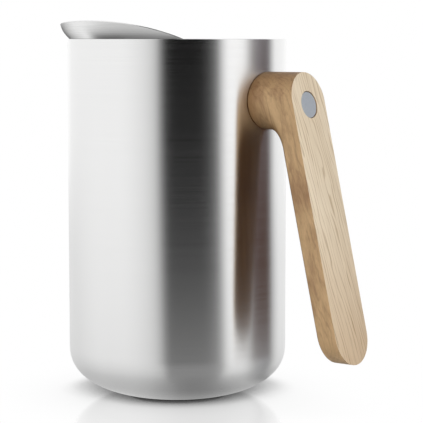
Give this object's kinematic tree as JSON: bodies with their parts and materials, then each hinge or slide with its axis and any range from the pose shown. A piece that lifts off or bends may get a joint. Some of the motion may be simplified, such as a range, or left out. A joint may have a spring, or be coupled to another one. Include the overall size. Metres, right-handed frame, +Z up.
{
  "type": "insulated jug",
  "caption": "Vacuum-insulated steel jug with a straight body, rounded base, slanting oak handle and a push-fit lid with a flared pouring lip and a hinged flap.",
  "frame": {"origin": "middle of the foot, on the surface that the jug stands on", "axes": "+Z up along the body's axis, +X from the axis towards the handle"},
  "size_m": [0.1666, 0.1142, 0.1888],
  "materials": {
    "brushed_steel": "brushed round the body",
    "satin_steel": "smooth satin",
    "bare_steel": "as rolled",
    "oak": "oiled oak, grain along the bar",
    "grey_plastic": "matte",
    "black_plastic": "fine moulded texture",
    "silicone": "matte",
    "solder_glass": "fused drop",
    "getter_alloy": "sintered"
  },
  "bodies": {
    "jug": {"outer_shell": "brushed_steel", "inner_flask": "brushed_steel", "base_plate": "bare_steel", "vacuum_plug": "solder_glass", "getter_holder": "bare_steel", "getter_pellet": "getter_alloy", "base_pad": "silicone", "handle_grip": "oak", "handle_boss": "bare_steel", "locating_pin": "bare_steel", "handle_screw": "bare_steel", "handle_washer": "bare_steel", "handle_cap": "grey_plastic"},
    "seals": {"lid_seal": "silicone", "stopper_gasket": "silicone"},
    "lid": {"pouring_ring": "satin_steel", "stopper_body": "black_plastic", "hinge_pin": "bare_steel"},
    "flap": {"flap_body": "black_plastic", "flap_cover": "satin_steel", "flap_seal": "silicone", "vent_seal": "silicone"}
  },
  "joints": [
    {"name": "lid_lift", "type": "slide", "parent": "jug", "child": "seals", "axis": [0, 0, 1], "range_m": [0, 0.06]},
    {"name": "lid_turn", "type": "hinge", "parent": "seals", "child": "lid", "pos_m": [0, 0, 0.162], "axis": [0, 0, 1], "continuous": true},
    {"name": "flap_tilt", "type": "hinge", "parent": "lid", "child": "flap", "pos_m": [0.02681, 0.02058, 0.1718], "axis": [-0.6088, 0.7934, 0], "range_deg": [0, 70]}
  ]
}
